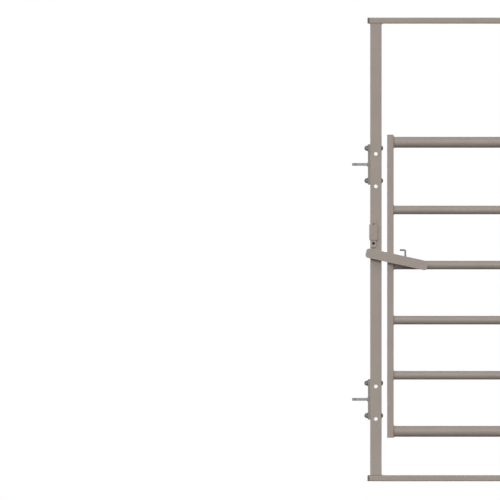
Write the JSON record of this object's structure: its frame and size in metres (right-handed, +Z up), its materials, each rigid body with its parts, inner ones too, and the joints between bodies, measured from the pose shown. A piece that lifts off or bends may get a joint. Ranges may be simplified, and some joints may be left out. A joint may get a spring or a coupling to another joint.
{
  "type": "cattle race arch gate",
  "caption": "Steel arch frame with a railed swinging leaf, lift-up latch lever, sliding lock bar and bolt-on link lugs, for closing a cattle race.",
  "frame": {"origin": "middle of the bottom bar's underside", "axes": "+X to the hinge post, +Y away from the latch side, +Z up"},
  "size_m": [1.02, 0.0991, 2.04],
  "materials": {
    "paint": "satin taupe paint",
    "grey_steel": "dull zinc",
    "black_plastic": "moulded"
  },
  "bodies": {
    "frame": {"left_post": "paint", "right_post": "paint", "top_bar": "paint", "bottom_bar": "paint", "top_left_cap": "black_plastic", "top_right_cap": "black_plastic", "bottom_left_cap": "black_plastic", "bottom_right_cap": "black_plastic", "upper_left_plate": "paint", "lower_left_plate": "paint", "upper_right_plate": "paint", "lower_right_plate": "paint", "upper_left_lug": "grey_steel", "lower_left_lug": "grey_steel", "upper_right_lug": "grey_steel", "lower_right_lug": "grey_steel", "upper_hinge_fork": "paint", "lower_hinge_fork": "paint", "upper_hinge_pin": "grey_steel", "lower_hinge_pin": "grey_steel", "latch_peg": "paint", "lock_guide": "paint"},
    "leaf": {"latch_stile": "paint", "hinge_stile": "paint", "latch_stile_caps": "paint", "hinge_stile_caps": "paint", "rail_1": "paint", "rail_2": "paint", "rail_3": "paint", "rail_4": "paint", "rail_5": "paint", "rail_6": "paint", "upper_hinge_eye": "paint", "lower_hinge_eye": "paint", "pivot_boss": "paint"},
    "lever": {"latch_lever": "paint", "lever_shaft": "grey_steel", "lever_tab": "paint", "pin_socket": "paint"},
    "lock": {"lock_bar": "paint", "lock_stud": "paint"},
    "pin": {"drop_pin": "grey_steel"}
  },
  "joints": [
    {"name": "leaf_swing", "type": "hinge", "parent": "frame", "child": "leaf", "pos_m": [0.3675, -0.04, 0], "axis": [0, 0, 1], "range_deg": [0, 100]},
    {"name": "lever_lift", "type": "hinge", "parent": "leaf", "child": "lever", "pos_m": [-0.198, 0, 0.951], "axis": [0, 1, 0], "range_deg": [0, 70]},
    {"name": "lock_slide", "type": "slide", "parent": "frame", "child": "lock", "axis": [0, 0, 1], "range_m": [0, 0.03]},
    {"name": "pin_lift", "type": "slide", "parent": "lever", "child": "pin", "axis": [0, 0, 1], "range_m": [0, 0.018]}
  ]
}
